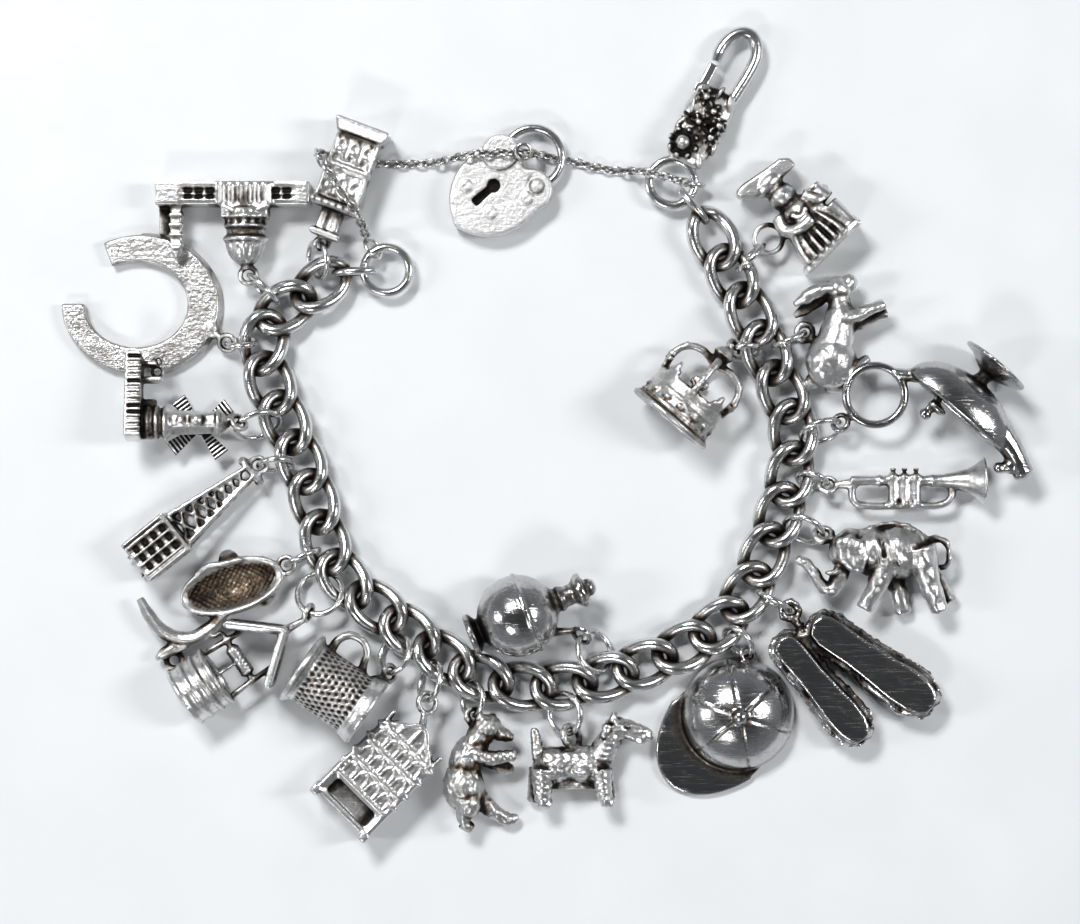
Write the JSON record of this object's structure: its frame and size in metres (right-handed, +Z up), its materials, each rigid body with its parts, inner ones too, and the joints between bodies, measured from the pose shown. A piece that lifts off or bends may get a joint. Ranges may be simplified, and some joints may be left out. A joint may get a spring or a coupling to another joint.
{
  "type": "charm bracelet",
  "caption": "Silver curb chain bracelet with cast figural charms on jump rings, a heart padlock on a safety chain and an ornamented hook clasp.",
  "frame": {"origin": "on the table, under the middle of the bracelet's box", "axes": "+X to the picture's right, +Y to the picture's top, +Z up from the table"},
  "size_m": [0.136, 0.114, 0.0116],
  "materials": {
    "polished_silver": "polished",
    "cast_silver": "cast and tumbled, darker in the hollows",
    "oxidised_silver": "oxidised with polished high places"
  },
  "bodies": {
    "bracelet": {"curb_chain": "polished_silver", "end_ring": "polished_silver", "safety_chain": "polished_silver", "clasp_body": "oxidised_silver", "padlock_body": "polished_silver", "tiered_tower": "cast_silver", "tiered_tower_jump_ring": "polished_silver", "domed_building": "cast_silver", "domed_building_jump_ring": "polished_silver", "horseshoe": "cast_silver", "horseshoe_jump_ring": "polished_silver", "windmill": "cast_silver", "windmill_jump_ring": "polished_silver", "lattice_tower": "cast_silver", "lattice_tower_jump_ring": "polished_silver", "curled_boat": "cast_silver", "curled_boat_jump_ring": "polished_silver", "wishing_well": "cast_silver", "wishing_well_jump_ring": "polished_silver", "tankard": "cast_silver", "tankard_jump_ring": "polished_silver", "throne": "cast_silver", "throne_jump_ring": "polished_silver", "bear": "cast_silver", "bear_jump_ring": "polished_silver", "terrier": "cast_silver", "terrier_jump_ring": "polished_silver", "ball_flask": "cast_silver", "ball_flask_jump_ring": "polished_silver", "cap": "cast_silver", "cap_jump_ring": "polished_silver", "shoe_pair": "cast_silver", "shoe_pair_jump_ring": "polished_silver", "elephant": "cast_silver", "elephant_jump_ring": "polished_silver", "trumpet": "cast_silver", "trumpet_jump_ring": "polished_silver", "oil_lamp": "cast_silver", "oil_lamp_jump_ring": "polished_silver", "hare": "cast_silver", "hare_jump_ring": "polished_silver", "figure_jug": "cast_silver", "figure_jug_jump_ring": "polished_silver", "crown": "cast_silver", "crown_jump_ring": "polished_silver"},
    "clasp_gate": {"clasp_gate": "polished_silver"},
    "padlock_shackle": {"padlock_shackle": "polished_silver"},
    "windmill_sails": {"windmill_sails": "cast_silver"}
  },
  "joints": [
    {"name": "shackle_hinge", "type": "hinge", "parent": "bracelet", "child": "padlock_shackle", "pos_m": [-0.00124, 0.03467, 0.00217], "axis": [0, 0, 1], "range_deg": [-35, 0]},
    {"name": "gate_hinge", "type": "hinge", "parent": "bracelet", "child": "clasp_gate", "pos_m": [0.02187, 0.04835, 0.0023], "axis": [0, 0, 1], "range_deg": [-22, 0], "stiffness_Nm_per_rad": 0.002},
    {"name": "sails_axle", "type": "hinge", "parent": "bracelet", "child": "windmill_sails", "pos_m": [-0.04848, 0.00096, 0.00207], "axis": [0, 0.2079, 0.9781], "continuous": true}
  ]
}
